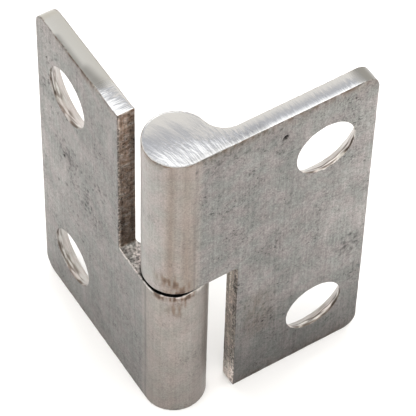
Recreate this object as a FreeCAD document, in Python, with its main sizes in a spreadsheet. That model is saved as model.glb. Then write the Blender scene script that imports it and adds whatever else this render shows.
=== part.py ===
import FreeCAD, Part
import os
import Sketcher

# Lift-off hinge: two equal solid leaves and the pin that joins them.
# Frame: millimetres, +Z up along the pin. The origin is on the pin's axis, at the lower end of the
# hinge. The leaves stand open at a right angle: the lift-off leaf along +X, the fixed leaf along +Y.
# Each leaf's outer face, the one that lies on the door or the post, is tangent to the knuckle.

SIZES = {
    "leaf_height": 50.0,  # length of the drawn profile each leaf is cut from
    "leaf_reach": 25.0,  # pin's axis to the leaf's outer edge
    "leaf_thickness": 2.4,
    "knuckle_diameter": 8.3,
    "root_radius": 3.0,  # hollow between the knuckle and the leaf's inner face
    "corner_radius": 2.0,  # the leaf's two outer corners
    "notch_reach": 6.25,  # pin's axis to the side of the notch for the other leaf's knuckle
    "notch_radius": 0.5,  # inside corner of that notch
    "knuckle_gap": 0.7,  # between the two knuckles' end faces
    "screw_spacing": 32.0,
    "screw_reach": 18.0,  # pin's axis to the screw holes
    "screw_hole_diameter": 8.0,
    "countersink_diameter": 12.0,
    "countersink_angle": 90.0,
    "pin_diameter": 5.0,
    "pin_chamfer": 0.5,
    "pin_clearance": 0.05,  # radial, in both bores
    "seat_clearance": 0.02,  # between each end of the pin and its seat
    "bore_depth": 20.0,  # full diameter, from the knuckle's open end
    "bore_chamfer": 0.4,
    "drill_point_angle": 118.0,
}

# How Sketcher counts the points of a line or an arc, and the sketch's own origin.
START, END, MIDDLE = 1, 2, 3
ORIGIN = (-1, START)

doc = FreeCAD.newDocument("lift_off_hinge")
sheet = doc.addObject("Spreadsheet::Sheet", "sizes")
for row, (alias, value) in enumerate(SIZES.items(), start=1):
    cell = f"A{row}"
    sheet.set(cell, str(value))
    sheet.setAlias(cell, alias)
doc.recompute()


def origin_plane(body, role):
    """The plane of a body's own origin, by its role."""
    for feature in body.Origin.OriginFeatures:
        if feature.Role == role:
            return feature
    raise ValueError(role)


def new_sketch(body, name, role, offset=None):
    """A sketch on one of the body's origin planes; offset is the plane's shift along its normal."""
    sketch = body.newObject("Sketcher::SketchObject", name)
    sketch.AttachmentSupport = [(origin_plane(body, role), "")]
    sketch.MapMode = "FlatFace"
    if offset:
        sketch.setExpression("AttachmentOffset.Base.z", offset)
    return sketch


def bind(sketch, name, constraint, expression):
    """Add a dimension to a sketch and tie it to the sheet."""
    index = sketch.addConstraint(constraint)
    sketch.renameConstraint(index, name)
    sketch.setExpression(f"Constraints.{name}", expression)


def edge_names(shape, wanted):
    """Names of the shape's edges whose middle point and box pass the test."""
    return [f"Edge{i}" for i, edge in enumerate(shape.Edges, start=1) if wanted(edge.BoundBox)]


def draw_profile(sketch):
    """The drawn profile: a round knuckle, the hollow at its root, and the flat leaf."""
    radius = SIZES["knuckle_diameter"] / 2
    thickness = SIZES["leaf_thickness"]
    reach = SIZES["leaf_reach"]
    root = SIZES["root_radius"]
    inner = thickness - radius
    centre = FreeCAD.Vector(0, 0, 0)
    up = FreeCAD.Vector(0, 0, 1)
    root_y = inner + root
    root_x = ((radius + root) ** 2 - root_y**2) ** 0.5
    root_centre = FreeCAD.Vector(root_x, root_y, 0)
    meet = root_centre * (radius / (radius + root))
    tangent = FreeCAD.Vector(root_x, inner, 0)
    inner_corner = FreeCAD.Vector(reach, inner, 0)
    outer_corner = FreeCAD.Vector(reach, -radius, 0)
    bottom = FreeCAD.Vector(0, -radius, 0)

    knuckle_circle = Part.Circle(centre, up, radius)
    knuckle_start = knuckle_circle.parameter(meet)
    knuckle_end = knuckle_circle.parameter(bottom)
    root_circle = Part.Circle(root_centre, up, root)
    root_start = root_circle.parameter(meet)
    root_end = root_circle.parameter(tangent)

    knuckle = sketch.addGeometry(Part.ArcOfCircle(knuckle_circle, knuckle_start, knuckle_end))
    hollow = sketch.addGeometry(Part.ArcOfCircle(root_circle, root_start, root_end))
    inner_face = sketch.addGeometry(Part.LineSegment(tangent, inner_corner))
    outer_edge = sketch.addGeometry(Part.LineSegment(inner_corner, outer_corner))
    outer_face = sketch.addGeometry(Part.LineSegment(outer_corner, bottom))

    sketch.addConstraint(Sketcher.Constraint("Coincident", knuckle, MIDDLE, *ORIGIN))
    sketch.addConstraint(Sketcher.Constraint("Tangent", knuckle, START, hollow, START))
    sketch.addConstraint(Sketcher.Constraint("Tangent", hollow, END, inner_face, START))
    sketch.addConstraint(Sketcher.Constraint("Coincident", inner_face, END, outer_edge, START))
    sketch.addConstraint(Sketcher.Constraint("Coincident", outer_edge, END, outer_face, START))
    sketch.addConstraint(Sketcher.Constraint("Tangent", outer_face, END, knuckle, END))
    sketch.addConstraint(Sketcher.Constraint("Horizontal", outer_face))
    sketch.addConstraint(Sketcher.Constraint("Horizontal", inner_face))
    sketch.addConstraint(Sketcher.Constraint("Vertical", outer_edge))
    bind(sketch, "knuckle_radius", Sketcher.Constraint("Radius", knuckle, radius),
         "sizes.knuckle_diameter / 2")
    bind(sketch, "root_radius", Sketcher.Constraint("Radius", hollow, root), "sizes.root_radius")
    bind(sketch, "thickness", Sketcher.Constraint("Distance", outer_edge, thickness),
         "sizes.leaf_thickness")
    bind(sketch, "reach", Sketcher.Constraint("DistanceX", *ORIGIN, outer_edge, START, reach),
         "sizes.leaf_reach")


def draw_rectangle(sketch, low_x, low_y, high_x, high_y):
    """A rectangle from four expressions, each a distance from the origin."""
    corners = [FreeCAD.Vector(x, y, 0) for x, y in ((-1, -1), (1, -1), (1, 1), (-1, 1))]
    lines = []
    for corner, following in zip(corners, corners[1:] + corners[:1]):
        lines.append(sketch.addGeometry(Part.LineSegment(corner, following)))
    for line, following in zip(lines, lines[1:] + lines[:1]):
        sketch.addConstraint(Sketcher.Constraint("Coincident", line, END, following, START))
    for line in lines[0::2]:
        sketch.addConstraint(Sketcher.Constraint("Horizontal", line))
    for line in lines[1::2]:
        sketch.addConstraint(Sketcher.Constraint("Vertical", line))
    bind(sketch, "low_x", Sketcher.Constraint("DistanceX", lines[0], START, *ORIGIN, 1), low_x)
    bind(sketch, "low_y", Sketcher.Constraint("DistanceY", lines[0], START, *ORIGIN, 1), low_y)
    bind(sketch, "high_x", Sketcher.Constraint("DistanceX", *ORIGIN, lines[2], START, 1), high_x)
    bind(sketch, "high_y", Sketcher.Constraint("DistanceY", *ORIGIN, lines[2], START, 1), high_y)


def draw_circle(sketch, name, x, y, diameter):
    """A circle whose centre and diameter are expressions."""
    circle = sketch.addGeometry(Part.Circle(FreeCAD.Vector(1, 1, 0), FreeCAD.Vector(0, 0, 1), 1))
    if x == "0":
        sketch.addConstraint(Sketcher.Constraint("Coincident", circle, MIDDLE, *ORIGIN))
    else:
        bind(sketch, f"{name}_x", Sketcher.Constraint("DistanceX", *ORIGIN, circle, MIDDLE, 1), x)
        bind(sketch, f"{name}_y", Sketcher.Constraint("DistanceY", *ORIGIN, circle, MIDDLE, 1), y)
    bind(sketch, f"{name}_size", Sketcher.Constraint("Diameter", circle, 2), diameter)


def make_leaf(label):
    """One leaf, standing along +X with its knuckle on the upper half of the pin."""
    body = doc.addObject("PartDesign::Body", label)
    body.Label = label

    profile = new_sketch(body, f"{label}_profile", "XY_Plane")
    draw_profile(profile)
    drawn = body.newObject("PartDesign::Pad", f"{label}_drawn_length")
    drawn.Profile = profile
    drawn.setExpression("Length", "sizes.leaf_height")
    doc.recompute()

    # Room for the other leaf's knuckle and for the gap between the two.
    notch_outline = new_sketch(body, f"{label}_notch_outline", "XY_Plane")
    draw_rectangle(notch_outline, "sizes.knuckle_diameter", "sizes.knuckle_diameter",
                   "sizes.notch_reach", "sizes.knuckle_diameter")
    notch = body.newObject("PartDesign::Pocket", f"{label}_notch")
    notch.Profile = notch_outline
    notch.Reversed = True
    notch.setExpression("Length", "(sizes.leaf_height + sizes.knuckle_gap) / 2")
    doc.recompute()

    reach = SIZES["leaf_reach"]
    height = SIZES["leaf_height"]
    notch_reach = SIZES["notch_reach"]
    notch_top = (height + SIZES["knuckle_gap"]) / 2
    near = 0.01

    corners = body.newObject("PartDesign::Fillet", f"{label}_outer_corners")
    corners.Base = (notch, edge_names(
        notch.Shape,
        lambda box: box.XMin > reach - near and box.ZLength < near))
    corners.setExpression("Radius", "sizes.corner_radius")
    doc.recompute()

    inside = body.newObject("PartDesign::Fillet", f"{label}_notch_corner")
    inside.Base = (corners, edge_names(
        corners.Shape,
        lambda box: abs(box.XMin - notch_reach) < near and box.XLength < near
        and abs(box.ZMin - notch_top) < near and box.ZLength < near))
    inside.setExpression("Radius", "sizes.notch_radius")
    doc.recompute()

    # Both screw holes are countersunk on the leaf's inner face.
    centres = new_sketch(body, f"{label}_screw_centres", "XZ_Plane",
                         "sizes.knuckle_diameter / 2 - sizes.leaf_thickness")
    for name, side in (("lower", "-"), ("upper", "+")):
        draw_circle(centres, name, "sizes.screw_reach",
                    f"(sizes.leaf_height {side} sizes.screw_spacing) / 2",
                    "sizes.screw_hole_diameter")
    doc.recompute()
    screws = body.newObject("PartDesign::Hole", f"{label}_screw_holes")
    screws.Profile = centres
    screws.Reversed = True
    screws.DepthType = "ThroughAll"
    screws.HoleCutType = "Countersink"
    screws.HoleCutCustomValues = True
    screws.setExpression("Diameter", "sizes.screw_hole_diameter")
    screws.setExpression("HoleCutDiameter", "sizes.countersink_diameter")
    screws.setExpression("HoleCutCountersinkAngle", "sizes.countersink_angle")
    doc.recompute()

    # Blind bore for the pin, from the knuckle's open end.
    bore_centre = new_sketch(body, f"{label}_bore_centre", "XY_Plane",
                             "(sizes.leaf_height + sizes.knuckle_gap) / 2")
    draw_circle(bore_centre, "bore", "0", "0", "sizes.pin_diameter + 2 * sizes.pin_clearance")
    doc.recompute()
    bore = body.newObject("PartDesign::Hole", f"{label}_bore")
    bore.Profile = bore_centre
    bore.Reversed = True
    bore.DepthType = "Dimension"
    bore.DrillPoint = "Angled"
    bore.setExpression("Diameter", "sizes.pin_diameter + 2 * sizes.pin_clearance")
    bore.setExpression("Depth", "sizes.bore_depth")
    bore.setExpression("DrillPointAngle", "sizes.drill_point_angle")
    doc.recompute()

    mouth = body.newObject("PartDesign::Chamfer", f"{label}_bore_mouth")
    mouth.Base = (bore, edge_names(
        bore.Shape,
        lambda box: abs(box.ZMin - notch_top) < near and box.ZLength < near
        and abs(box.XLength - SIZES["pin_diameter"] - 2 * SIZES["pin_clearance"]) < near))
    mouth.setExpression("Size", "sizes.bore_chamfer")
    doc.recompute()
    return body


def make_pin(label):
    """The pin: a plain ground rod, chamfered at both ends, resting in the two bores' drill points."""
    body = doc.addObject("PartDesign::Body", label)
    body.Label = label
    seat = ("(sizes.pin_clearance + sizes.pin_chamfer) / tan(sizes.drill_point_angle / 2 * 1 deg)"
            " - sizes.seat_clearance")
    section = new_sketch(body, f"{label}_section", "XY_Plane",
                         f"(sizes.leaf_height - sizes.knuckle_gap) / 2 - sizes.bore_depth - ({seat})")
    draw_circle(section, "pin", "0", "0", "sizes.pin_diameter")
    rod = body.newObject("PartDesign::Pad", f"{label}_rod")
    rod.Profile = section
    rod.setExpression("Length", f"sizes.knuckle_gap + 2 * sizes.bore_depth + 2 * ({seat})")
    doc.recompute()
    ends = body.newObject("PartDesign::Chamfer", f"{label}_ends")
    ends.Base = (rod, edge_names(rod.Shape, lambda box: box.ZLength < box.XLength / 2))
    ends.setExpression("Size", "sizes.pin_chamfer")
    doc.recompute()
    return body


lift_off_leaf = make_leaf("lift_off_leaf")
fixed_leaf = make_leaf("fixed_leaf")
hinge_pin = make_pin("hinge_pin")

# The fixed leaf is the same piece turned end for end about a level line at half height, midway
# between +X and +Y, so its knuckle comes below and its leaf stands along +Y.
half_height = FreeCAD.Vector(0, 0, SIZES["leaf_height"] / 2)
half_turn = FreeCAD.Rotation(FreeCAD.Vector(1, 1, 0), 180)
fixed_leaf.Placement = FreeCAD.Placement(FreeCAD.Vector(0, 0, 0), half_turn, half_height)
doc.recompute()

nodes = [fixed_leaf, lift_off_leaf, hinge_pin]
for item in doc.Objects:
    if {"Invalid", "Error"} & set(item.State):
        raise RuntimeError(f"{item.Name} did not build: {item.State}")
os.makedirs("parts", exist_ok=True)
for node in nodes:
    if node.Shape.isNull() or not node.Shape.isValid() or len(node.Shape.Solids) != 1:
        raise RuntimeError(f"{node.Label} is not one valid solid")
for node in nodes:
    node.Shape.exportStep(f"parts/{node.Label}.step")
    box = node.Shape.BoundBox
    print(f"{node.Label}: {node.Shape.Volume:.1f} mm3,"
          f" x {box.XMin:.2f} to {box.XMax:.2f}, y {box.YMin:.2f} to {box.YMax:.2f},"
          f" z {box.ZMin:.2f} to {box.ZMax:.2f}")
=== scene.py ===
import math

import bmesh
import bpy
import numpy as np
from mathutils import Matrix, Vector, noise


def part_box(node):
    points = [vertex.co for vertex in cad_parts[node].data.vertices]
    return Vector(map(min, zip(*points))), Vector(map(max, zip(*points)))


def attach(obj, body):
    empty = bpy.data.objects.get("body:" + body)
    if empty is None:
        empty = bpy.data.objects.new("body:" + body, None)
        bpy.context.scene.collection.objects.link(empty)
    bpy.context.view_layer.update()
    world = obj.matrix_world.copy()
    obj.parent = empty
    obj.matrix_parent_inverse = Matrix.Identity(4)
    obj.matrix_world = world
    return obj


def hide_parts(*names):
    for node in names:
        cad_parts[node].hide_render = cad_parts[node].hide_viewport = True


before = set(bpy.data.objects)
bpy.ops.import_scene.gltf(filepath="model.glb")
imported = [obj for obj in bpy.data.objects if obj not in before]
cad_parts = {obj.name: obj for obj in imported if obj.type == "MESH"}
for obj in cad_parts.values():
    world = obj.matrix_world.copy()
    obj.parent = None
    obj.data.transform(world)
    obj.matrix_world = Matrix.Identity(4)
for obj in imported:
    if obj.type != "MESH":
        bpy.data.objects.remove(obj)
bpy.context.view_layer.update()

MM = 0.001

# ---------------------------------------------------------------------------------------------
# Sizes of one leaf in millimetres, in its own frame: it stands along +X with its knuckle on the
# upper half of the pin. The frame gives the outer sizes; the rest repeat the CAD sheet's.
# ---------------------------------------------------------------------------------------------
leaf_low, leaf_high = (Vector(corner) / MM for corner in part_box("lift_off_leaf"))
HEIGHT = leaf_high.z - leaf_low.z
REACH = leaf_high.x
KNUCKLE_R = -leaf_low.x
THICKNESS = 2.4
ROOT_R = 3.0
CORNER_R = 2.0
NOTCH_REACH = 6.25
NOTCH_R = 0.5
KNUCKLE_GAP = 0.7
SCREW_SPACING = 32.0
SCREW_REACH = 18.0
SCREW_R = 4.0
SINK_R = 6.0
BORE_R = 2.55
BORE_DEPTH = 20.0
BORE_CHAMFER = 0.4
DRILL_SIN = math.sin(math.radians(118 / 2))
DRILL_COS = math.cos(math.radians(118 / 2))
INNER_FACE = THICKNESS - KNUCKLE_R
OUTER_FACE = -KNUCKLE_R
NOTCH_TOP = (HEIGHT + KNUCKLE_GAP) / 2

# The skin: spacing of its points, and the wear on its edges.
VOXEL = 0.225
EDGE_R = 0.13
EDGE_R_CHANGE = 0.05
NEAR = 0.02

# The pin's top end is worn bright between these two heights.
PIN_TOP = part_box("hinge_pin")[1][2] / MM
PIN_WEAR = (PIN_TOP - 1.2, PIN_TOP)

# Brightness of clean steel on the drawn faces, the milled ends and the walls of the screw holes.
FACE_STEEL = 0.211
END_STEEL = 0.515
HOLE_STEEL = 0.41

# The mill's arcs on the two ends run about this point, out beyond the knuckle.
MILL_CENTRE = (-17.0, -4.0)


# ---------------------------------------------------------------------------------------------
# The leaf as a distance field, so that every edge gets its own small wear radius.
# ---------------------------------------------------------------------------------------------
def round_and(a, b, radius):
    """Intersection of two fields with the edge between them rounded."""
    u = np.maximum(radius + a, 0)
    v = np.maximum(radius + b, 0)
    return np.minimum(-radius, np.maximum(a, b)) + np.hypot(u, v)


def rounded_box(u, v, low_u, low_v, high_u, high_v, radius):
    """Distance to a rectangle with rounded corners."""
    du = np.abs(u - (low_u + high_u) / 2) - (high_u - low_u) / 2 + radius
    dv = np.abs(v - (low_v + high_v) / 2) - (high_v - low_v) / 2 + radius
    outside = np.hypot(np.maximum(du, 0), np.maximum(dv, 0))
    return outside + np.minimum(np.maximum(du, dv), 0) - radius


def profile(x, y):
    """Distance to the drawn profile, which runs on past the leaf's outer edge."""
    far = 2 * REACH
    root_y = INNER_FACE + ROOT_R
    root_x = math.sqrt((KNUCKLE_R + ROOT_R) ** 2 - root_y**2)
    from_pin = np.hypot(x, y)
    from_root = np.hypot(x - root_x, y - root_y)
    to_outer_face = np.hypot(x - np.clip(x, 0, far), y - OUTER_FACE)
    to_inner_face = np.hypot(x - np.clip(x, root_x, far), y - INNER_FACE)

    above_root_line = y * root_x > x * root_y
    on_knuckle = above_root_line | (x < 0)
    to_knuckle = np.where(on_knuckle, np.abs(from_pin - KNUCKLE_R), far)
    beside_root = (x < root_x) & ~above_root_line & (y < root_y)
    to_root = np.where(beside_root, np.abs(from_root - ROOT_R), far)
    distance = np.minimum.reduce([to_outer_face, to_inner_face, to_knuckle, to_root])

    in_leaf = (x > 0) & (y > OUTER_FACE) & (y < INNER_FACE)
    in_web = (x > 0) & (x < root_x) & (y > OUTER_FACE) & ~above_root_line & (from_root > ROOT_R)
    inside = (from_pin < KNUCKLE_R) | in_leaf | in_web
    return np.where(inside, -distance, distance)


def leaf_field(points, edge_r):
    """Distance to the whole leaf: profile, outline, notch, screw holes and bore."""
    x, y, z = points.T
    far = 2 * REACH
    solid = profile(x, y)
    outline = rounded_box(x, z, -far, 0, REACH, HEIGHT, CORNER_R)
    solid = round_and(solid, outline, edge_r)
    notch = rounded_box(x, z, -far, -far, NOTCH_REACH, NOTCH_TOP, NOTCH_R)
    solid = round_and(solid, -notch, edge_r)
    for side in (-1, 1):
        level = HEIGHT / 2 + side * SCREW_SPACING / 2
        around = np.hypot(x - SCREW_REACH, z - level)
        solid = round_and(solid, SCREW_R - around, edge_r / 2)
        sink = (y - INNER_FACE + SINK_R - around) / math.sqrt(2)
        solid = round_and(solid, sink, edge_r / 2)
    around = np.hypot(x, y)
    above_mouth = z - NOTCH_TOP
    drill_end = (above_mouth - BORE_DEPTH) * DRILL_SIN - (BORE_R - around) * DRILL_COS
    bore = np.maximum(around - BORE_R, drill_end)
    mouth = (around - BORE_R - BORE_CHAMFER + above_mouth) / math.sqrt(2)
    bore = np.minimum(bore, np.maximum(mouth, -above_mouth - BORE_CHAMFER))
    return np.maximum(solid, -bore)


def gradient(points, edge_r, step=0.01):
    """Unit normals of the field."""
    slopes = np.empty_like(points)
    for axis in range(3):
        shift = np.zeros(3)
        shift[axis] = step
        slopes[:, axis] = leaf_field(points + shift, edge_r) - leaf_field(points - shift, edge_r)
    return slopes / np.maximum(np.linalg.norm(slopes, axis=1, keepdims=True), 1e-9)


def settle(points, edge_r, rounds=5):
    """Move points onto the field's surface."""
    for _ in range(rounds):
        points = points - gradient(points, edge_r) * leaf_field(points, edge_r)[:, None] * 0.9
    return points


def screw_distance(x, z):
    """Distance from the nearer screw hole's axis."""
    return np.hypot(x - SCREW_REACH, np.abs(z - HEIGHT / 2) - SCREW_SPACING / 2)


def needs_detail(x, y, z, blowholes):
    """Where the skin gets points twice as close: ends, cuts, rims, hole edges and blowholes."""
    on_top = z > HEIGHT - 2 * VOXEL
    at_cut_end = (np.abs(z - NOTCH_TOP) < 3 * VOXEL) & (x < NOTCH_REACH + 2 * VOXEL)
    at_cut_side = (np.abs(x - NOTCH_REACH) < 2 * VOXEL) & (z < NOTCH_TOP)
    at_hole = np.abs(screw_distance(x, z) - SCREW_R) < 3 * VOXEL
    near_blowhole = np.zeros(len(x), bool)
    for at_x, at_z, radius, _ in blowholes:
        near_blowhole |= (np.hypot(x - at_x, z - at_z) < radius + VOXEL) & (y < OUTER_FACE + VOXEL)
    return (on_top | at_cut_end | at_cut_side | at_hole | near_blowhole) & (np.hypot(x, y) > BORE_R)


def even_skin(node, turn, blowholes):
    """An even quad skin of a CAD node in millimetres, in the leaf's own frame."""
    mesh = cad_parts[node].data.copy()
    mesh.transform(turn.inverted() @ Matrix.Scale(1 / MM, 4))
    rough = bpy.data.objects.new(node + "_rough", mesh)
    bpy.context.scene.collection.objects.link(rough)
    remesh = rough.modifiers.new("even", "REMESH")
    remesh.mode = "VOXEL"
    remesh.voxel_size = VOXEL
    skin = bpy.data.meshes.new_from_object(rough.evaluated_get(bpy.context.evaluated_depsgraph_get()))
    bpy.data.objects.remove(rough)
    bpy.data.meshes.remove(mesh)

    centres = np.empty(len(skin.polygons) * 3)
    skin.polygons.foreach_get("center", centres)
    chosen = needs_detail(*centres.reshape(-1, 3).T, blowholes)
    work = bmesh.new()
    work.from_mesh(skin)
    work.faces.ensure_lookup_table()
    edges = {edge for index in np.flatnonzero(chosen) for edge in work.faces[index].edges}
    bmesh.ops.subdivide_edges(work, edges=sorted(edges, key=lambda edge: edge.index), cuts=1,
                              use_grid_fill=True)
    work.to_mesh(skin)
    work.free()
    return skin


def coordinates(mesh):
    points = np.empty(len(mesh.vertices) * 3)
    mesh.vertices.foreach_get("co", points)
    return points.reshape(-1, 3)


def ripple(points, size, seed):
    """Smooth noise, about 0 to 1, one lump per size; size is a length or one length per axis."""
    shift = Vector((seed * 17.3, seed * 5.7, seed * 11.1))
    return np.array([0.5 + 0.5 * noise.noise(Vector(p) + shift) for p in points / size])


def ramp(value, low, high):
    """0 below low, 1 above high, smooth between."""
    t = np.clip((value - low) / (high - low), 0, 1)
    return t * t * (3 - 2 * t)


def band(value, middle, width):
    """1 at the middle, fading to 0 at the width on both sides."""
    return 1 - ramp(np.abs(value - middle), 0, width)


def paint(mesh, name, values):
    """Keep one number or one vector per vertex for the materials."""
    kind = "FLOAT_VECTOR" if values.ndim == 2 else "FLOAT"
    layer = mesh.attributes.new(name, kind, "POINT")
    layer.data.foreach_set("vector" if values.ndim == 2 else "value", values.ravel())


# ---------------------------------------------------------------------------------------------
# Wear of the two leaves, with their painted shade, highlights and reflections, in millimetres in each
# leaf's own frame. Angles go around the pin.
#   seed                start of the leaf's own random numbers and noise
#   lip, lip_angle      height and direction of the lip on the rim of the knuckle's open end
#   shaded_side_angle   painted shade on one side of the knuckle; a painted lighter front, a painted reflection band, is FRONT_TURN from it
#   film                the brown film at the knuckle's sides and at its front, set by angle around the pin so that it also paints reflection bands
#   dull_from           the milled ends are rougher from here outwards, with a painted reflection that darkens them to dull_reflection_tone and tints them beige-brown
#   strip_marks         strength of the mill's marks on the ends beyond the knuckle
#   foot_shade, foot_shade_tone   level of the leaf's painted shade at its foot, and how dark that painted shade is
#   tone                brightness of the drawn faces
#   notch_tone          brightness of the notch's side at the leaf's end and at the knuckle
#   notch_brown         brown on the notch's side
#   mouth_tone          lowest and highest brightness of the torn mouths of the screw holes
#   torn                width of the torn strip beside the notch, strength of the holes' tearing, and of the painted shade along the torn mouths' far edge
#   edge_dirt           dirt beside the ends' edges
#   eased               how much the ends fall away towards the outer face
#   pit_depth           the deepest small pit
#   clusters            pits: x, z, spread along x, spread along z, count
#   blowholes           x, z, radius, depth
#   creased             creased patches: x, z, half size along x, half size along z, depth
#   seam_shade          darkness of the painted shade line where the knuckle meets the leaf
#   stains              start, end, radius, strength
# ---------------------------------------------------------------------------------------------
FRONT_TURN = 75.0
WEAR = {
    "lift_off_leaf": {
        "seed": 1,
        "lip": 0.0,
        "lip_angle": 0.0,
        "shaded_side_angle": -176.0,
        "film": (0.10, 0.50),
        "dull_from": 22.3,
        "dull_reflection_tone": 0.5,
        "strip_marks": 0.5,
        "foot_shade": 0.0,
        "foot_shade_tone": 0.52,
        "tone": 1.0,
        "notch_tone": (0.5, 0.86),
        "notch_brown": 0.35,
        "mouth_tone": (0.2, 0.7),
        "torn": 1.0,
        "edge_dirt": 1.3,
        "eased": 0.04,
        "pit_depth": 0.035,
        "clusters": [(22.4, 18.5, 1.2, 2.5, 40), (10.5, 14.5, 2.2, 3.0, 60), (9.0, 44.0, 2.0, 3.0, 10),
                     (17.0, 27.0, 2.0, 2.0, 24), (14.0, 30.0, 7.0, 12.0, 40), (6.0, 48.4, 4.5, 0.7, 50)],
        "blowholes": [(12.2, 46.7, 0.4, 0.6), (9.3, 46.1, 0.13, 0.1), (8.5, 41.6, 0.15, 0.1)],
        "creased": [(22.9, 18.6, 1.9, 3.4, 0.11)],
        "seam_shade": 0.2,
        "stains": [((-3.0, -2.9, 25.3), (-0.9, -4.1, 25.3), 1.5, 0.95),
                   ((-2.8, -3.1, 28.0), (-1.5, -3.9, 26.8), 3.2, 0.75),
                   ((9.5, -4.1, 11.0), (9.5, -4.1, 16.0), 3.5, 0.35),
                   ((0.0, -4.1, 50.0), (9.0, -4.1, 50.0), 1.5, 0.6)],
    },
    "fixed_leaf": {
        "seed": 7,
        "lip": 0.56,
        "lip_angle": 138.0,
        "shaded_side_angle": 138.0,
        "film": (0.42, 0.3),
        "dull_from": 11.0,
        "dull_reflection_tone": 0.92,
        "strip_marks": 1.0,
        "foot_shade": HEIGHT,
        "foot_shade_tone": 0.84,
        "tone": 0.93,
        "notch_tone": (0.57, 0.4),
        "notch_brown": 0.7,
        "mouth_tone": (0.22, 0.48),
        "torn": 0.35,
        "edge_dirt": 0.5,
        "eased": 0.0,
        "pit_depth": 0.07,
        "clusters": [(17.8, 20.5, 1.4, 1.4, 70), (14.0, 25.0, 1.2, 1.6, 44), (11.0, 20.0, 2.0, 1.5, 28),
                     (14.0, 28.0, 5.0, 10.0, 50), (22.0, 10.0, 1.0, 5.0, 26), (20.0, 14.0, 2.0, 6.0, 30)],
        "blowholes": [(19.2, 21.3, 0.22, 0.15), (12.2, 20.4, 0.18, 0.12), (22.6, 6.2, 0.18, 0.12)],
        "creased": [(14.4, 25.0, 1.5, 1.5, 0.09), (18.0, 20.4, 1.6, 1.3, 0.07)],
        "seam_shade": 0.45,
        "stains": [((-4.1, -0.6, 25.4), (-2.2, -3.5, 25.4), 1.5, 1.3),
                   ((-3.95, -1.3, 26.0), (-3.5, -2.2, 28.4), 2.4, 0.62),
                   ((11.4, -3.6, 0.0), (14.0, -4.0, 0.0), 1.5, 0.9),
                   ((14.0, -4.1, 0.0), (20.0, -4.2, 0.0), 0.9, 0.85)],
    },
}


def dent(points, wobble, x, z, radius, flat=0.2):
    """A hollow with an uneven outline in the outer face, and a floor of that share of its radius."""
    around = np.hypot(points[:, 0] - x, points[:, 2] - z) * wobble
    return (1 - ramp(around, flat * radius, radius)) * (points[:, 1] < OUTER_FACE + NEAR)


def pits(points, wear):
    """How deep each point lies in the pits and blowholes, and in the creases, of the outer face."""
    random = np.random.default_rng(wear["seed"])
    wobble = 0.55 + 0.9 * ripple(points, 0.3, wear["seed"] + 20)
    depth = np.zeros(len(points))
    for x, z, spread_x, spread_z, count in wear["clusters"]:
        for _ in range(count):
            at_x = random.normal(x, spread_x)
            at_z = random.normal(z, spread_z)
            radius = random.uniform(0.12, 0.38)
            deep = wear["pit_depth"] * random.uniform(0.2, 1.0)
            depth = np.maximum(depth, deep * dent(points, wobble, at_x, at_z, radius))
    for x, z, radius, deep in wear["blowholes"]:
        depth = np.maximum(depth, deep * dent(points, 0.6 + 0.4 * wobble, x, z, radius, 0.6))
    creases = np.zeros(len(points))
    fold = np.abs(2 * ripple(points, (1.1, 1.1, 0.6), wear["seed"] + 21) - 1)
    crease = (1 - ramp(fold, 0.02, 0.3)) * ramp(ripple(points, 0.9, wear["seed"] + 22), 0.35, 0.65)
    for x, z, half_x, half_z, deep in wear["creased"]:
        away = np.hypot((points[:, 0] - x) / half_x, (points[:, 2] - z) / half_z)
        creases = np.maximum(creases, deep * crease * (1 - ramp(away, 0.4, 1.0)))
    return depth, creases


def stained(points, wear):
    """How brown each point is from the joint's old grease and from handling."""
    brown = np.zeros(len(points))
    for start, end, radius, strength in wear["stains"]:
        along = np.subtract(end, start)
        share = np.clip((points - start) @ along / (along @ along), 0, 1)
        away = np.linalg.norm(points - start - share[:, None] * along, axis=1)
        brown = np.maximum(brown, strength * (1 - ramp(away, 0.1 * radius, radius)))
    return brown


def turned_from(angle, middle):
    """Degrees between two directions around the pin."""
    return np.abs((angle - middle + 180) % 360 - 180)


def surfaces(points, normals):
    """How far each point belongs to each kind of surface, from 0 to 1."""
    x, y, z = points.T
    level = np.abs(normals[:, 2])
    wall = np.hypot(normals[:, 0], normals[:, 1])
    from_end = np.minimum(z, HEIGHT - z)
    around = screw_distance(x, z)
    across = ramp(1 - np.abs(normals[:, 1]), 0.05, 0.2)
    near_notch = (np.abs(x - NOTCH_REACH) < 2 * EDGE_R) & (z < NOTCH_TOP + EDGE_R)
    near_seat = (np.abs(z - NOTCH_TOP) < 2 * EDGE_R) & (x < NOTCH_REACH)
    at_edge = -profile(x, y) < 1.5 * EDGE_R
    in_hole = around < SINK_R + EDGE_R
    land_depth = OUTER_FACE + THICKNESS - (SINK_R - SCREW_R)
    squareness = np.maximum(np.abs(normals[:, 0]), np.abs(normals[:, 1]))
    kinds = {
        "end": np.where(at_edge, ramp(level, 0.9, 0.99), ramp(level, 0.4, 0.7))
        * (from_end < CORNER_R / 2),
        "side": ramp(-normals[:, 0], 0.5, 0.9) * near_notch,
        "seat": ramp(-normals[:, 2], 0.5, 0.9) * near_seat,
        "sink": in_hole * across * (y > land_depth),
        "land": in_hole * across * (y <= land_depth),
        "rim": ramp(1 - np.maximum(level, wall), 0.01, 0.1) * at_edge
        * (near_seat | (from_end < 2 * EDGE_R)),
        "arris": ramp(1 - squareness, 0.02, 0.15) * (wall > 0.9)
        * ((near_notch & (z < NOTCH_TOP)) | (x > REACH - 2 * EDGE_R)),
    }
    cut = sum(kinds[name] for name in ("end", "side", "seat", "sink", "land"))
    kinds["face"] = np.clip(1 - cut, 0, 1)
    return kinds


def torn_band(points, wear):
    """The strip of the notch's side, next to the outer face, where the metal tore, from 0 to 1."""
    width = wear["torn"] * (0.3 + 0.8 * ripple(points, (1.0, 1.0, 1.6), wear["seed"] + 23))
    return 1 - ramp(points[:, 1] - OUTER_FACE, width, width + 0.15)


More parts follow.
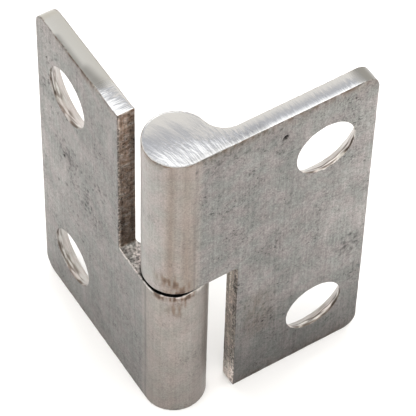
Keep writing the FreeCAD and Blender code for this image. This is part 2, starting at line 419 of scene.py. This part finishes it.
def torn_mouth(points, kinds, wear):
    """The band of a hole's wall where the drill tore out of the outer face, and its far edge, which
    carries a painted shade line.
    """
    in_hole = kinds["sink"] + kinds["land"]
    from_front = points[:, 1] - OUTER_FACE
    width = 0.6 + 0.9 * ripple(points, 1.3, wear["seed"] + 26)
    mouth = in_hole * (1 - ramp(from_front, width - 0.1, width + 0.1))
    return mouth, in_hole * band(from_front, width, 0.28)


def relief(points, kinds, wear):
    """How far each point lies below the drawn shape."""
    x, y, z = points.T
    seed = wear["seed"]
    # Waves and lumps of the drawn skin, with faint lines along the draw.
    depth = kinds["face"] * (0.03 * ripple(points, 8.0, seed) + 0.02 * ripple(points, 1.6, seed + 1)
                             + 0.016 * ripple(points, 0.6, seed + 2)
                             + 0.01 * ripple(points, (0.45, 0.45, 12.0), seed + 3))
    # The milled ends are faintly crowned, crossed by the mill's arcs, and eased at the outer face.
    from_rim = -profile(x, y)
    half_width = THICKNESS / 2 + (KNUCKLE_R - THICKNESS / 2) * (1 - ramp(x, 0.0, 6.0))
    crown = 0.029 * half_width * np.maximum(1 - from_rim / half_width, 0) ** 2
    mill = np.hypot(x - MILL_CENTRE[0], y - MILL_CENTRE[1])
    arcs = ripple(np.stack([mill, 0 * mill, 0 * mill], 1), 1.1, seed + 4)
    from_front = y - OUTER_FACE
    shelving = 0.005 * np.maximum(wear["dull_from"] + 0.8 - x - 1.2 * from_front, 0) ** 2
    shelving = shelving * (z < HEIGHT / 2) * (wear["lip"] > 0)
    eased = wear["eased"] * np.maximum(0.65 - from_front, 0) ** 2
    arc_height = 0.01 + 0.014 * (1 - ramp(x, 3, 8))
    depth += kinds["end"] * (crown + arc_height * arcs + shelving + eased)
    # The notch was sawn, and broke away in grains at its end.
    depth += kinds["side"] * (0.06 * ripple(points, (0.6, 0.4, 3.0), seed + 5)
                              + 0.02 * ripple(points, 0.4, seed + 6)
                              + 0.1 * torn_band(points, wear)
                              * ripple(points, (0.3, 0.3, 0.9), seed + 19))
    depth += kinds["seat"] * (0.04 * ripple(points, 0.6, seed + 6)
                              + 0.04 * ripple(points, 0.25, seed + 7))
    depth += torn_mouth(points, kinds, wear)[0] * 0.09 * ripple(points, (1.3, 0.35, 1.3), seed + 9)
    # Nicks along the edges.
    nicks = np.maximum(ripple(points, 0.5, seed + 11) - 0.58, 0)
    depth += (0.25 * kinds["rim"] + 0.2 * kinds["arris"]) * nicks
    return depth


def burr(points, wear):
    """How far the rim of the knuckle's open end stands out, and the lip on one side of it."""
    x, y, z = points.T
    from_pin = np.hypot(x, y)
    angle = np.degrees(np.arctan2(y, x))
    near_seat = (np.abs(z - NOTCH_TOP) < 2 * EDGE_R) & (x < NOTCH_REACH)
    rim = near_seat * band(-profile(x, y), 0.08, 0.24) * (wear["lip"] > 0)
    standing = rim * (0.04 + 0.14 * ripple(points, 0.4, wear["seed"] + 10))
    lip = 1 - ramp(turned_from(angle, wear["lip_angle"]), 35, 75)
    lip_width = ramp(from_pin, KNUCKLE_R - 0.8, KNUCKLE_R - 0.35)
    return standing, wear["lip"] * lip * lip_width * near_seat


def finish_of(points, kinds, pitted, wear):
    """Brightness of the bare steel with its painted shade and painted highlights, brown stain and film
    with painted reflection tints, roughness and grain at each point.
    """
    x, y, z = points.T
    seed = wear["seed"]
    from_pin = np.hypot(x, y)
    angle = np.degrees(np.arctan2(y, x))
    from_end = np.minimum(z, HEIGHT - z)
    fine = ripple(points, 0.3, seed + 14)
    loose = ripple(points, 0.6, seed + 15)

    # The drawn skin: lighter towards the leaf's outer edge and on the knuckle, and darker at its foot
    # with painted shade.
    on_knuckle = (1 - ramp(from_pin, KNUCKLE_R + 0.05, KNUCKLE_R + 0.3)) * (1 - ramp(x, -0.3, 1.5))
    streaks = ripple(points, (1.0, 1.0, 25.0), seed + 17)
    side_film, front_film = wear["film"]
    # Painted reflection bands around the knuckle: a lighter front and a darker side; the brown film's
    # strength follows them too.
    front = 1 - ramp(turned_from(angle, wear["shaded_side_angle"] + FRONT_TURN), 28, 56)
    film = on_knuckle * (side_film + (front_film - side_film) * front) * (0.65 + 0.7 * streaks)
    # Painted shade: a dark line where the knuckle's round meets the flat outer face.
    seam_shade = wear["seam_shade"] * band(x, 0.1, 0.35) * (y < 0)
    seam_shade = seam_shade * (0.6 + 0.8 * ripple(points, (0.4, 0.4, 2.0), seed + 24))
    shaded_side = on_knuckle * (1 - ramp(turned_from(angle, wear["shaded_side_angle"]), 14, 40))
    # Painted shade: darker towards the leaf's foot.
    foot_shade = ramp(np.abs(z - wear["foot_shade"]), 0, 22)
    steel = FACE_STEEL * wear["tone"] * (1 + 0.2 * ramp(x, 14, 23))
    steel = steel * (1 + on_knuckle * (0.36 + 0.12 * streaks + 0.1 * front) - 0.06 * shaded_side) * (1 - seam_shade)
    steel = steel * (wear["foot_shade_tone"] + (1 - wear["foot_shade_tone"]) * foot_shade)
    # Painted shade in the pits, blowholes and creases, darker the deeper they lie.
    steel = steel * (1 - 0.5 * np.clip(pitted / 0.04, 0, 1) - 0.46 * np.clip(pitted / 0.15, 0, 1))
    patches = ramp(ripple(points, 0.9, seed + 13), 0.35, 0.62)
    edge_dirt = np.exp(-from_end / 0.8) * (0.25 + 0.75 * patches)
    stain = stained(points, wear)
    drips = 0.25 + 0.85 * ramp(ripple(points, (0.4, 0.4, 1.8), seed + 25), 0.25, 0.7) + 0.25 * loose
    brown = np.maximum.reduce([stain * drips, film, wear["edge_dirt"] * edge_dirt * (0.4 + 0.6 * fine)])
    rough = 0.47 - 0.1 * on_knuckle
    grain = 1 - 0.45 * on_knuckle

    # The milled ends, rougher on one part, where a painted reflection darkens them and tints them
    # beige-brown.
    end = kinds["end"]
    dull = ramp(x, wear["dull_from"] - 0.8, wear["dull_from"] + 0.8)
    steel = steel + end * (END_STEEL * (1 - dull + dull * wear["dull_reflection_tone"]) - steel)
    rough = rough + end * (0.12 + 0.16 * dull - rough)
    grain = grain * (1 - end)
    steel = steel * (1 - 0.5 * end * stain)
    brown = brown + end * (0.34 * dull + 0.1 * stain - brown)

    # The sawn side of the notch and its broken end, with painted shade where the two knuckles meet.
    side = kinds["side"]
    tear = torn_band(points, wear)
    sawn = ripple(points, (0.35, 0.35, 4.0), seed + 5)
    end_tone, knuckle_tone = wear["notch_tone"]
    side_tone = (end_tone + (knuckle_tone - end_tone) * ramp(z, 4, 22)) * (0.6 + 0.8 * sawn)
    side_tone = side_tone + tear * (0.2 + 0.5 * ramp(fine, 0.3, 0.7) - side_tone)
    steel = steel + side * (side_tone - steel)
    brown = brown + side * (wear["notch_brown"] * (0.5 + loose) * (1 - 0.3 * tear) - brown)
    grain = grain + 0.6 * side
    seat = kinds["seat"]
    # Painted shade on the broken end where the two knuckles meet.
    joint_shade = 1 - ramp(from_pin, KNUCKLE_R - 0.1, KNUCKLE_R + 0.3)
    seat_tone = 0.14 + 0.34 * ramp(fine, 0.2, 0.8)
    steel = steel + seat * (seat_tone * (1 - 0.9 * joint_shade) - steel)
    brown = brown + seat * (0.2 * loose - brown)
    grain = grain + 0.5 * seat

    # The screw holes: turned sinks with torn mouths.
    in_hole = kinds["sink"] + kinds["land"]
    turned = ramp(ripple(points, (1.6, 0.16, 1.6), seed + 18), 0.35, 0.62)
    steel = steel + in_hole * (HOLE_STEEL * (1 - 0.4 * wear["torn"] * (1 - turned)) - steel)
    brown = brown + in_hole * (0.1 + 0.4 * wear["torn"] * (1 - turned) - brown)
    rough = rough + in_hole * (0.3 - rough)
    grain = grain * (1 - 0.8 * in_hole)
    mouth, mouth_edge_shade = torn_mouth(points, kinds, wear)
    bright = ramp(ripple(points, (1.3, 0.35, 1.3), seed + 9), 0.62, 0.35) * (0.6 + 0.4 * fine)
    low_tone, high_tone = wear["mouth_tone"]
    steel = steel + mouth * (low_tone + (high_tone - low_tone) * bright - steel)
    brown = brown + mouth * (0.6 * (1 - bright) - brown)
    # Painted shade: a dark brown line along the torn band's far edge.
    steel = steel * (1 - 0.45 * wear["torn"] * mouth_edge_shade)
    brown = np.maximum(brown, 0.8 * wear["torn"] * mouth_edge_shade)

    # Edges, worn bright here and there, and the burr's rim, painted bright as a painted highlight.
    edges = np.maximum(kinds["rim"], kinds["arris"])
    steel = steel + edges * (0.14 + 0.2 * ramp(fine, 0.45, 0.65) - steel)
    rough = rough + edges * (0.45 - rough)
    brown = np.maximum(brown * (1 - 0.6 * edges), 0.3 * edges)
    # Painted highlight: the standing burr is painted bright.
    burr_highlight = ramp(burr(points, wear)[0], 0.04, 0.1) * ramp(loose, 0.3, 0.5)
    steel = steel + burr_highlight * (0.5 - steel)
    brown = brown * (1 - 0.6 * burr_highlight)
    return {"steel": steel, "brown": np.clip(brown, 0, 1), "rough": rough, "grain": grain}


def mill_marks(points, wear):
    """How strong the mill's marks are: most at the front, least on the dull part."""
    x, y, z = points.T
    dull = ramp(x, wear["dull_from"] - 0.8, wear["dull_from"] + 0.8)
    on_strip = ramp(x, 5, 9)
    marks = (0.25 + 0.75 * ramp(-y, -1.5, 1.5)) * (1 - 0.7 * dull)
    return marks * (1 - (1 - wear["strip_marks"]) * on_strip)


def make_leaf(name, node, turn):
    """A worn leaf that stands for a CAD leaf."""
    wear = WEAR[node]
    skin = even_skin(node, turn, wear["blowholes"])
    points = coordinates(skin)
    edge_r = EDGE_R + EDGE_R_CHANGE * (2 * ripple(points, 2.2, wear["seed"] + 8) - 1)
    points = settle(points, edge_r)
    normals = gradient(points, edge_r)
    kinds = surfaces(points, normals)
    pitted, creases = (values * kinds["face"] for values in pits(points, wear))
    depth = relief(points, kinds, wear) + np.maximum(pitted, creases)
    moved = points - normals * depth[:, None]
    moved[:, 2] -= np.maximum(*burr(points, wear))
    skin.vertices.foreach_set("co", moved.ravel())
    paint(skin, "place", points)
    for layer, values in finish_of(points, kinds, pitted + creases / 2, wear).items():
        paint(skin, layer, values)
    paint(skin, "milled", kinds["end"] * mill_marks(points, wear))
    paint(skin, "on_end", kinds["end"])
    skin.transform(Matrix.Scale(MM, 4) @ turn)
    skin.shade_smooth()
    skin.materials.clear()
    piece = bpy.data.objects.new(name, skin)
    bpy.context.scene.collection.objects.link(piece)
    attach(piece, node)
    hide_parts(node)
    return piece


upright = Matrix.Identity(4)
half_height = Matrix.Translation((0, 0, HEIGHT / 2))
end_for_end = half_height @ Matrix.Rotation(math.pi, 4, Vector((1, 1, 0))) @ half_height.inverted()

lift_off = make_leaf("worn_lift_off_leaf", "lift_off_leaf", upright)
fixed = make_leaf("worn_fixed_leaf", "fixed_leaf", end_for_end)


# ---------------------------------------------------------------------------------------------
# Materials
# ---------------------------------------------------------------------------------------------
class Nodes:
    """A short way to write a material's node tree."""

    def __init__(self, material):
        material.use_nodes = True
        self.tree = material.node_tree
        self.shader = self.tree.nodes["Principled BSDF"]

    def add(self, kind, inputs=None, **settings):
        node = self.tree.nodes.new(kind)
        for key, value in settings.items():
            setattr(node, key, value)
        for key, value in (inputs or {}).items():
            self.put(node.inputs[key], value)
        return node

    def put(self, socket, value):
        if isinstance(value, bpy.types.NodeSocket):
            self.tree.links.new(value, socket)
        elif isinstance(value, bpy.types.Node):
            self.tree.links.new(value.outputs[0], socket)
        else:
            socket.default_value = value

    def attribute(self, name, output="Fac"):
        return self.add("ShaderNodeAttribute", attribute_name=name).outputs[output]

    def stretch(self, vector, scale):
        return self.add("ShaderNodeMapping", {"Vector": vector, "Scale": scale}).outputs[0]

    def noise(self, vector, scale, detail=2.0, rough=0.5):
        return self.add("ShaderNodeTexNoise", {
            "Vector": vector, "Scale": scale, "Detail": detail, "Roughness": rough}).outputs["Fac"]

    def fit(self, value, low, high, out_low=0.0, out_high=1.0):
        return self.add("ShaderNodeMapRange", {
            "Value": value, "From Min": low, "From Max": high,
            "To Min": out_low, "To Max": out_high}).outputs[0]

    def math(self, operation, a, b=0.0):
        return self.add("ShaderNodeMath", {0: a, 1: b}, operation=operation).outputs[0]

    def total(self, *values):
        result = values[0]
        for value in values[1:]:
            result = self.math("ADD", result, value)
        return result

    def mix(self, factor, a, b, blend="MIX"):
        node = self.add("ShaderNodeMix", data_type="RGBA", blend_type=blend)
        self.put(node.inputs["Factor"], factor)
        self.put(node.inputs["A"], a)
        self.put(node.inputs["B"], b)
        return node.outputs["Result"]


def grey(value):
    return (value, value, value, 1.0)


def leaf_steel():
    material = bpy.data.materials.new("leaf_steel")
    n = Nodes(material)
    # The steel attribute carries painted shade and painted highlights, and the brown attribute carries
    # painted reflection tints and painted shade lines as well as stains and film.
    place = n.attribute("place", "Vector")
    steel = n.attribute("steel")
    brown = n.attribute("brown")
    grainy = n.attribute("grain")
    milled = n.attribute("milled")
    on_end = n.attribute("on_end")

    # Grain, mottling and drawn lines, each about -1 to 1, and dark spots in loose clusters.
    grain = n.fit(n.noise(place, 5.0, 3.0, 0.7), 0.3, 0.7, -1.0, 1.0)
    mottle = n.fit(n.noise(place, 1.4, 4.0, 0.7), 0.3, 0.7, -1.0, 1.0)
    cloud = n.fit(n.noise(place, 0.22, 2.0), 0.3, 0.7, -1.0, 1.0)
    lines = n.fit(n.noise(n.stretch(place, (3.6, 3.6, 0.1)), 1.0, 3.0, 0.6), 0.3, 0.7, -1.0, 1.0)
    clustered = n.fit(n.noise(place, 0.3, 2.0), 0.52, 0.66)
    spots = n.math("MULTIPLY", n.fit(n.noise(place, 2.6, 3.0, 0.65), 0.46, 0.36), clustered)

    speckle = n.total(n.math("MULTIPLY", grain, 0.42), n.math("MULTIPLY", mottle, 0.2),
                      n.math("MULTIPLY", cloud, 0.14), n.math("MULTIPLY", lines, 0.16),
                      n.math("MULTIPLY", spots, -0.6))
    shade = n.math("ADD", 1.0, n.math("MULTIPLY", speckle, grainy))
    value = n.math("MULTIPLY", steel, shade)
    hue = n.fit(n.noise(place, 0.45, 3.0), 0.38, 0.62)
    tint = n.mix(hue, (0.995, 1.0, 0.95, 1), (1.075, 0.99, 0.96, 1))
    tint = n.mix(on_end, tint, (1.0, 1.0, 1.0, 1))
    film = n.mix(brown, tint, n.mix(on_end, (1.03, 0.80, 0.64, 1), (1.0, 0.95, 0.79, 1)))
    film = n.mix(n.fit(brown, 0.55, 1.0, 0.0, 0.8), film, n.mix(on_end, (1.12, 0.71, 0.50, 1), film))
    covered = n.math("MULTIPLY", brown, n.math("ADD", 0.2, n.math("MULTIPLY", brown, 0.55)))
    colour = n.mix(1.0, film, n.math("MULTIPLY", value, n.math("SUBTRACT", 1.0, covered)), "MULTIPLY")

    uneven = n.math("MULTIPLY", n.math("MULTIPLY", grain, grainy), 0.05)
    rough = n.math("ADD", n.attribute("rough"), uneven)
    n.put(n.shader.inputs["Base Color"], colour)
    n.put(n.shader.inputs["Roughness"], rough)
    n.shader.inputs["Metallic"].default_value = 1.0

    # The faces are bumpy with grain; the milled ends carry the mill's fine arcs.
    offset = n.add("ShaderNodeVectorMath", {0: place, 1: (*MILL_CENTRE, 0.0)}, operation="SUBTRACT")
    split = n.add("ShaderNodeSeparateXYZ", {0: offset})
    radius = n.math("SQRT", n.math("ADD", n.math("MULTIPLY", split.outputs["X"], split.outputs["X"]),
                                   n.math("MULTIPLY", split.outputs["Y"], split.outputs["Y"])))
    angle = n.math("ARCTAN2", split.outputs["Y"], split.outputs["X"])
    around = n.add("ShaderNodeCombineXYZ", {"X": n.math("MULTIPLY", radius, 2.4),
                                            "Y": n.math("MULTIPLY", angle, 9.0)})
    arcs = n.noise(around, 1.0, 3.0, 0.6)
    skin_height = n.total(grain, n.math("MULTIPLY", mottle, 0.7), n.math("MULTIPLY", lines, 0.5),
                          n.math("MULTIPLY", spots, -2.0))
    skin_height = n.math("MULTIPLY", skin_height, n.math("MULTIPLY", grainy, 0.006))
    height = n.mix(on_end, skin_height, n.math("MULTIPLY", n.math("MULTIPLY", arcs, milled), 0.027))
    bump = n.add("ShaderNodeBump", {"Height": height, "Strength": 1.0, "Distance": MM})
    n.put(n.shader.inputs["Normal"], bump)
    return material


def pin_steel():
    """Ground steel with turning rings, a film of old grease and a worn tip."""
    material = bpy.data.materials.new("pin_steel")
    n = Nodes(material)
    place = n.stretch(n.add("ShaderNodeTexCoord").outputs["Object"], (1 / MM, 1 / MM, 1 / MM))
    rings = n.noise(n.stretch(place, (0.3, 0.3, 9.0)), 1.0, 3.0)
    grain = n.noise(place, 4.0, 3.0, 0.7)
    grease = n.fit(n.noise(n.stretch(place, (0.7, 0.7, 0.2)), 1.0, 3.0, 0.6), 0.42, 0.62)
    height = n.add("ShaderNodeSeparateXYZ", {0: place}).outputs["Z"]
    worn = n.fit(n.math("ADD", height, n.fit(grain, 0.3, 0.7, -0.6, 0.6)), *PIN_WEAR)
    bare = n.mix(n.fit(n.total(rings, grain), 0.7, 1.3), grey(0.22), grey(0.3))
    colour = n.mix(n.math("MULTIPLY", grease, 0.6), bare, (0.17, 0.135, 0.1, 1))
    n.put(n.shader.inputs["Base Color"], n.mix(worn, colour, grey(0.4)))
    n.put(n.shader.inputs["Roughness"], n.fit(grease, 0.0, 1.0, 0.28, 0.42))
    n.shader.inputs["Metallic"].default_value = 1.0
    marks = n.total(rings, grain)
    bump = n.add("ShaderNodeBump", {"Height": marks, "Strength": 0.3, "Distance": 0.01 * MM})
    n.put(n.shader.inputs["Normal"], bump)
    return material


leaf_material = leaf_steel()
for piece in (lift_off, fixed):
    piece.data.materials.append(leaf_material)
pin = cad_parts["hinge_pin"]
pin.data.materials.clear()
pin.data.materials.append(pin_steel())


# ---------------------------------------------------------------------------------------------
# Floor, light and camera
# ---------------------------------------------------------------------------------------------
def make_floor():
    mesh = bpy.data.meshes.new("floor")
    side = 3.0
    corners = [(-side, -side, 0), (side, -side, 0), (side, side, 0), (-side, side, 0)]
    mesh.from_pydata(corners, [], [(0, 1, 2, 3)])
    floor = bpy.data.objects.new("floor", mesh)
    bpy.context.scene.collection.objects.link(floor)
    material = bpy.data.materials.new("floor_white")
    material.use_nodes = True
    shader = material.node_tree.nodes["Principled BSDF"]
    shader.inputs["Base Color"].default_value = (0.95, 0.95, 0.95, 1)
    shader.inputs["Roughness"].default_value = 0.9
    shader.inputs["Specular IOR Level"].default_value = 0.1
    mesh.materials.append(material)
    return floor


# The studio's brightness and colour by the sine of the height above the horizon: a cream wall,
# a cooler band over it, and a soft ceiling, brightest in a ring around its middle.
STUDIO = [
    (0.00, (0.96, 0.925, 0.87)),
    (0.752, (0.96, 0.925, 0.87)),
    (0.778, (0.44, 0.455, 0.50)),
    (0.797, (0.46, 0.475, 0.52)),
    (0.825, (1.05, 1.06, 1.08)),
    (0.86, (1.55, 1.55, 1.55)),
    (0.90, (2.40, 2.40, 2.40)),
    (0.935, (2.40, 2.40, 2.40)),
    (0.97, (1.15, 1.15, 1.15)),
    (1.00, (1.05, 1.05, 1.05)),
]
STUDIO_STRENGTH = 1.45


def make_studio():
    world = bpy.data.worlds.new("studio")
    bpy.context.scene.world = world
    world.use_nodes = True
    tree = world.node_tree
    coordinate = tree.nodes.new("ShaderNodeTexCoord")
    split = tree.nodes.new("ShaderNodeSeparateXYZ")
    blend = tree.nodes.new("ShaderNodeValToRGB")
    tree.links.new(coordinate.outputs["Generated"], split.inputs[0])
    tree.links.new(split.outputs["Z"], blend.inputs[0])
    stops = blend.color_ramp.elements
    while len(stops) < len(STUDIO):
        stops.new(0.5)
    for stop, (height, colour) in zip(stops, STUDIO):
        stop.position = height
        stop.color = (*colour, 1)
    tree.links.new(blend.outputs[0], tree.nodes["Background"].inputs["Color"])
    tree.nodes["Background"].inputs["Strength"].default_value = STUDIO_STRENGTH


make_floor()
make_studio()

CAMERA_AZIMUTH = math.radians(-33.3)
CAMERA_ELEVATION = math.radians(53.0)
CAMERA_ROLL = math.radians(1.69)
CAMERA_DISTANCE = 328.9 * MM
AIM = Vector((6.34, 2.86, 29.42)) * MM
LENS = 237.6


def make_camera():
    lens = bpy.data.cameras.new("camera")
    lens.lens = LENS
    lens.sensor_width = 36
    lens.clip_start = 0.01
    lens.clip_end = 10
    camera = bpy.data.objects.new("camera", lens)
    bpy.context.scene.collection.objects.link(camera)
    flat = math.cos(CAMERA_ELEVATION)
    back = Vector((math.sin(CAMERA_AZIMUTH) * flat, -math.cos(CAMERA_AZIMUTH) * flat,
                   math.sin(CAMERA_ELEVATION)))
    camera.location = AIM + back * CAMERA_DISTANCE
    turn = back.to_track_quat("Z", "Y").to_matrix() @ Matrix.Rotation(CAMERA_ROLL, 3, "Z")
    camera.rotation_mode = "QUATERNION"
    camera.rotation_quaternion = turn.to_quaternion()
    bpy.context.scene.camera = camera


make_camera()
bpy.context.scene.view_settings.view_transform = "Standard"
